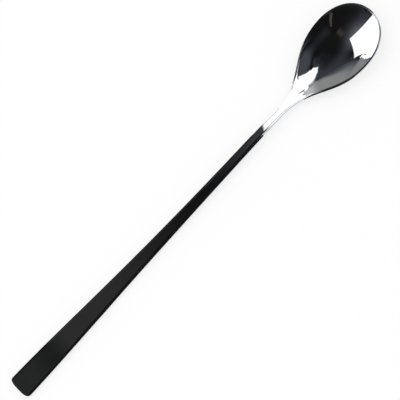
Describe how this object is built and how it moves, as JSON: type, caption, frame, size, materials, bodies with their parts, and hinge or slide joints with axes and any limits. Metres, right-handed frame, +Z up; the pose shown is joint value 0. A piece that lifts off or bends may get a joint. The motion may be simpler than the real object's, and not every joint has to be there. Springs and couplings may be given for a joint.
{
  "type": "long-handled spoon",
  "caption": "Slender long-handled spoon in polished steel: egg-shaped pressed bowl and neck pegged into a tapered flat bar handle.",
  "frame": {"origin": "on the table plane under the middle of the spoon's length and width", "axes": "+X from the free end of the handle to the tip of the bowl, +Y to the left across the spoon, +Z up out of the bowl"},
  "size_m": [0.2101, 0.0286, 0.0089],
  "materials": {
    "polished_steel": "mirror-polished stainless steel"
  },
  "bodies": {
    "root": {"bowl": "polished_steel", "handle": "polished_steel"}
  },
  "joints": []
}
